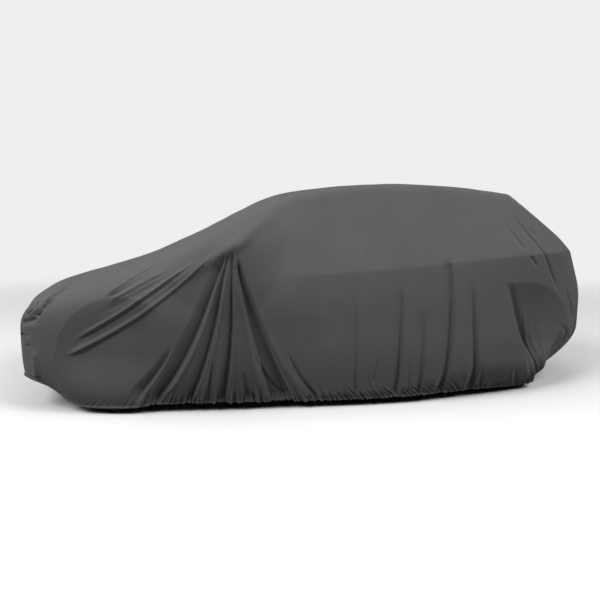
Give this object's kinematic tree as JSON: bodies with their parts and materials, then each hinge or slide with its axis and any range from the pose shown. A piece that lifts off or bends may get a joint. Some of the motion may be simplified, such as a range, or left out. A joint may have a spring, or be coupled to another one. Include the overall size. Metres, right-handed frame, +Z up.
{
  "type": "car cover",
  "caption": "Fitted stretch cover for a small hatchback, drawn to the outer form over peaks at both sides, hollow, with an elastic hem.",
  "frame": {"origin": "under the middle of the cover's box, level with the lowest point of the hem", "axes": "+Z up, -X towards the front end, -Y towards the left side"},
  "size_m": [4.0086, 2.0439, 1.4137],
  "materials": {
    "stretch_cloth": "matt dark grey stretch knit"
  },
  "bodies": {
    "root": {"cover": "stretch_cloth"}
  },
  "joints": []
}
